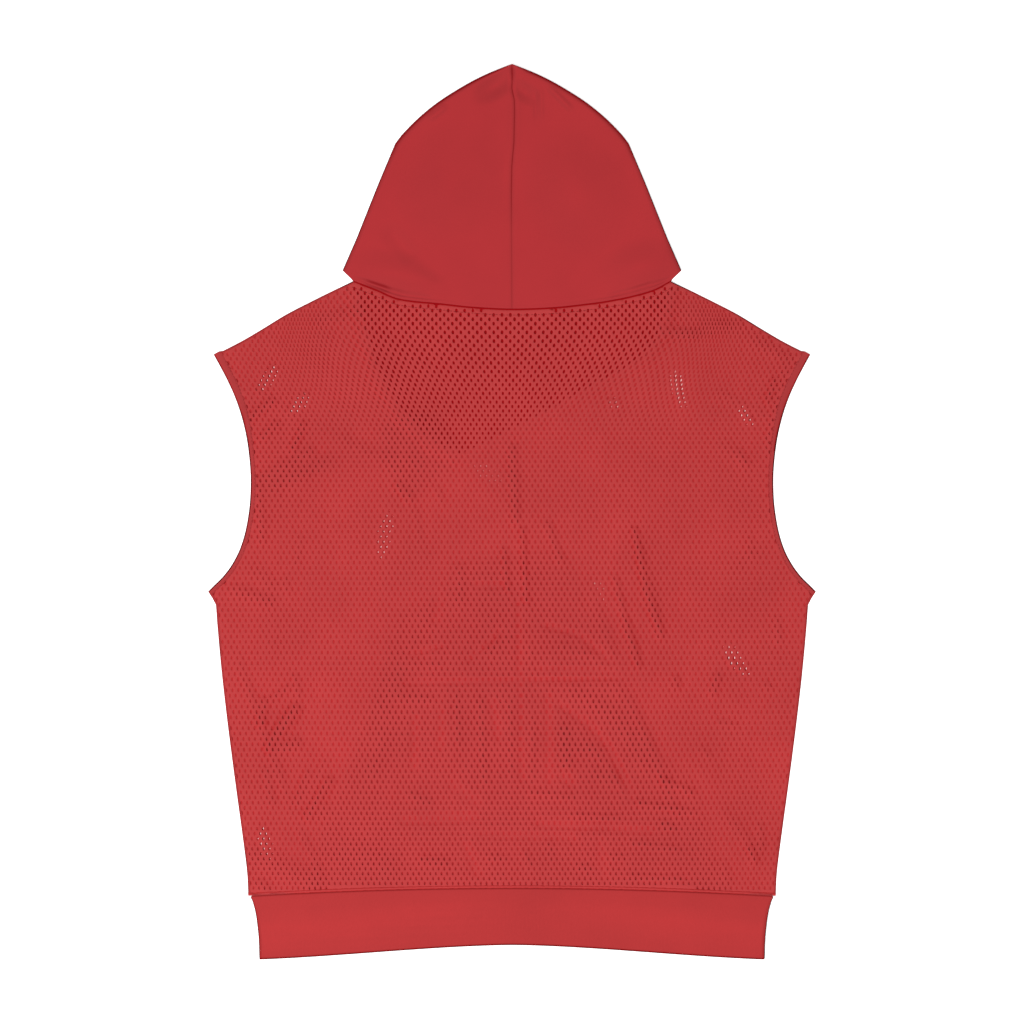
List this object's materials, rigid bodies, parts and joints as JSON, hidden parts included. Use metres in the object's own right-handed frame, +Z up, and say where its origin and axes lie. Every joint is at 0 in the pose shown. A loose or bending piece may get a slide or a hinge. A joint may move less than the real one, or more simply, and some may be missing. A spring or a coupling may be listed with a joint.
{
  "type": "sleeveless hoodie",
  "caption": "Sleeveless hooded top laid flat with its back up: knitted mesh body, fleece hood with a centre seam, kangaroo pocket and rib hem band.",
  "frame": {"origin": "on the floor, under the middle of the whole outline", "axes": "+Z up, out of the garment's back; +Y from the hem to the hood; +X to the right of someone who looks down on the back with the hood at the top"},
  "size_m": [0.608, 0.895, 0.0087],
  "materials": {
    "mesh": "red polyester mesh knit with small upright oval holes, matt",
    "fleece": "red brushed cotton jersey, matt",
    "rib": "red fine cotton rib, matt"
  },
  "bodies": {
    "root": {"back": "mesh", "front": "mesh", "pocket": "mesh", "hood_left": "fleece", "hood_right": "fleece", "hem_band": "rib"}
  },
  "joints": []
}
